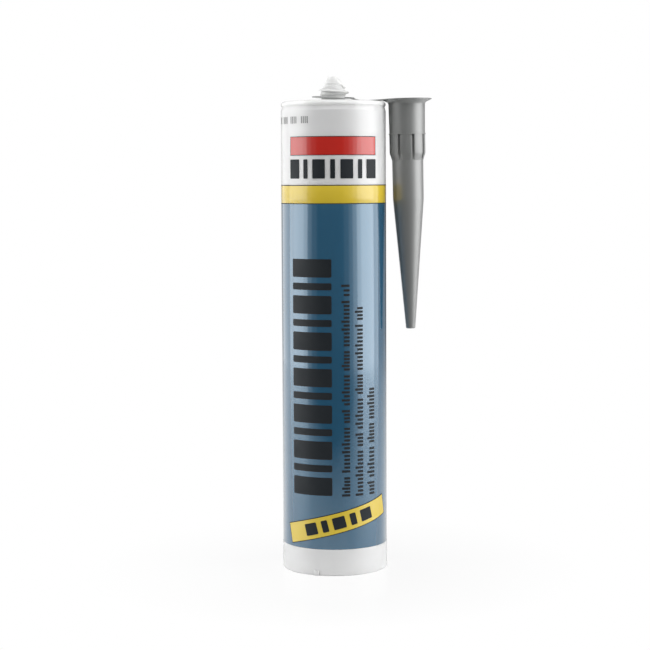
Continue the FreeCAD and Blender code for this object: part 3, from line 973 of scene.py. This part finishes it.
# --- Nozzle ---
# One moulding of grey polyethylene: saucer flange, collar with the inner thread,
# eight gripping lobes, barrel and long cone, on an axis that leans outwards.
NOZZLE_X = 34.42
NOZZLE_TOP = 221.62
NOZZLE_LEAN = 0.99
NOZZLE_LONG = 108.05
FLANGE_R = 11.73
COLLAR_LONG = 16.2
LOBE_R = 8.42
LOBE_LOW = -25.8
LOBE_END = -28.8
LEDGE_LOW = -16.7
BARREL_R = 7.32
BARREL_LOW = -46.95
COLLAR_BORE_R = 7.75
COLLAR_BORE_END = -12.0
OUTLET_R = 1.1
nozzle_place = (Matrix.Translation((NOZZLE_X * MM, 0, NOZZLE_TOP * MM))
                @ Matrix.Rotation(math.radians(-NOZZLE_LEAN), 4, "Y"))
grey_plastic = plastic("grey_polyethylene", (0.215, 0.222, 0.218, 1), (0.195, 0.202, 0.198, 1), 0.36, 0.44,
                       peel=0.3, flow=0.2, varnish=1.0, shine=1.0)
grey_plastic.node_tree.nodes["Principled BSDF"].inputs["Coat Roughness"].default_value = 0.32
nozzle_shell = turned("nozzle_shell", [
    (FLANGE_R - 1.0, 0, 0),
    (FLANGE_R, 0, 0.2),
    (FLANGE_R, -0.35, 0.12),
    (8.6, -1.8, 1.5),
    (8.37, -COLLAR_LONG, 0),
    (LOBE_R + 0.25, -COLLAR_LONG, 0.08),
    (LOBE_R + 0.25, LEDGE_LOW, 0.08),
    (BARREL_R, LEDGE_LOW, 0),
    (BARREL_R, LOBE_END, 0),
    (7.24, BARREL_LOW, 2.0),
    (2.18, -NOZZLE_LONG, 0.5),
    (OUTLET_R, -NOZZLE_LONG, 0),
    (OUTLET_R, 3.0 - NOZZLE_LONG, 0),
    (6.24, BARREL_LOW, 2.0),
    (6.32, -14.5, 0),
    (COLLAR_BORE_R, COLLAR_BORE_END, 0),
    (COLLAR_BORE_R, -1.2, 0),
], segments=96)
nozzle_shell.data.transform(nozzle_place)

LOBES = 8
LOBE_AZIMUTH = 15.5
LOBE_HALF = math.pi / LOBES
LOBE_STEPS = 10
LOBE_ROOT_R = 7.1
LOBE_GAP = 1.2
lobe_shape = bmesh.new()
columns = []
for r, z in ((LOBE_ROOT_R, LEDGE_LOW), (LOBE_R, LEDGE_LOW), (LOBE_R, LOBE_LOW + 0.9),
             (LOBE_R - 0.1, LOBE_LOW), (LOBE_R - 0.42, LOBE_LOW - 0.8), (BARREL_R, LOBE_END),
             (LOBE_ROOT_R, LOBE_END)):
    half = LOBE_HALF - math.asin(LOBE_GAP / 2 / r)
    column = []
    for step in range(LOBE_STEPS + 1):
        angle = half * (2 * step / LOBE_STEPS - 1)
        column.append(lobe_shape.verts.new((r * MM * math.cos(angle), r * MM * math.sin(angle), z * MM)))
    columns.append(column)
for i, column in enumerate(columns):
    following = columns[(i + 1) % len(columns)]
    for step in range(LOBE_STEPS):
        lobe_shape.faces.new((column[step], column[step + 1], following[step + 1], following[step]))
lobe_shape.faces.new([column[0] for column in columns])
lobe_shape.faces.new([column[-1] for column in columns])
bmesh.ops.recalc_face_normals(lobe_shape, faces=lobe_shape.faces)
flank = [edge for edge in lobe_shape.edges if len(edge.link_faces) == 2
         and max(len(face.verts) for face in edge.link_faces) > 4
         and all(vert.co.to_2d().length > 7.25 * MM for vert in edge.verts)]
soften(lobe_shape, flank, 0.16, 2)
lobe_mesh = bpy.data.meshes.new("lobe")
lobe_shape.to_mesh(lobe_mesh)
lobe_shape.free()
lobes = grown("nozzle_lobes", RING, {
    "Count": LOBES,
    "First angle": math.radians(LOBE_AZIMUTH - 90) + LOBE_HALF,
    "Material": grey_plastic,
}, source=lobe_mesh, place=nozzle_place)

inner_thread = grown("collar_thread", RIDGE, {
    "Core radius": 8.05 * MM,
    "Crest radius": 6.95 * MM,
    "Pitch": PITCH * MM,
    "Rise": (7.0 - RIDGE_FOOT) * MM,
    "Foot width": RIDGE_FOOT * MM,
    "Crest width": RIDGE_CREST * MM,
    "First angle": THREAD_FROM,
    "Cone radius": 1.0,
    "Cone height": 0.0,
    "Cone slope": 0.0,
    "Material": grey_plastic,
}, place=nozzle_place @ Matrix.Translation((0, 0, (-9.0 + RIDGE_FOOT / 2) * MM)))

# --- Strap and eyelet of the nozzle ---
# A flat strap runs from the flange to a flat ring that turns freely round the
# neck of the spigot. Both are moulded in one with the nozzle.
EYELET_Z = 222.35
EYELET_TILT = 2.0
EYELET_PITCH = 4.5
EYELET_HALF_THICK = 0.25
EYELET_BORE_R = 5.85
EYELET_R = 10.0
STRAP_HALF_WIDE = 3.5
STRAP_HALF_THICK = 0.2
STRAP_CORNER = 0.1
STRAP_LOW = (13.5, 220.6)
eyelet = turned("nozzle_eyelet", [
    (EYELET_BORE_R, -EYELET_HALF_THICK, 0.1),
    (EYELET_R, -EYELET_HALF_THICK, 0.15),
    (EYELET_R, EYELET_HALF_THICK, 0.15),
    (EYELET_BORE_R, EYELET_HALF_THICK, 0.1),
], segments=96)
eyelet.data.transform(Matrix.Translation((0, 0, EYELET_Z * MM))
                      @ Matrix.Rotation(math.radians(EYELET_TILT), 4, "Y")
                      @ Matrix.Rotation(math.radians(EYELET_PITCH), 4, "X"))
strap_x = ((EYELET_BORE_R + EYELET_R) / 2, NOZZLE_X - FLANGE_R + 1.5)
start_z = EYELET_Z - strap_x[0] * math.sin(math.radians(EYELET_TILT))
end_z = NOZZLE_TOP - (FLANGE_R - 1.5) * math.sin(math.radians(NOZZLE_LEAN)) - STRAP_HALF_THICK
strap_shape = bmesh.new()
sections = []
for x, z in rounded([(strap_x[0], start_z, 0), (*STRAP_LOW, 15.0), (strap_x[1], end_z, 0)], 12):
    ring = []
    for side, level in ((-1, -1), (1, -1), (1, 1), (-1, 1)):
        edge = (side * STRAP_HALF_WIDE, level * (STRAP_HALF_THICK - STRAP_CORNER))
        face = (side * (STRAP_HALF_WIDE - STRAP_CORNER), level * STRAP_HALF_THICK)
        for y, up_z in ((edge, face) if side == level else (face, edge)):
            ring.append(strap_shape.verts.new((x * MM, y * MM, (z + up_z) * MM)))
    sections.append(ring)
for ring, following in zip(sections, sections[1:]):
    for j in range(8):
        strap_shape.faces.new((ring[j], ring[(j + 1) % 8], following[(j + 1) % 8], following[j]))
strap_shape.faces.new(sections[0])
strap_shape.faces.new(sections[-1])
strap = as_piece("nozzle_strap", strap_shape, 50.0)
for piece in (nozzle_shell, eyelet, strap):
    piece.data.materials.append(grey_plastic)
for piece in (nozzle_shell, lobes, inner_thread, eyelet, strap):
    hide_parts("nozzle")
    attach(piece, "nozzle")
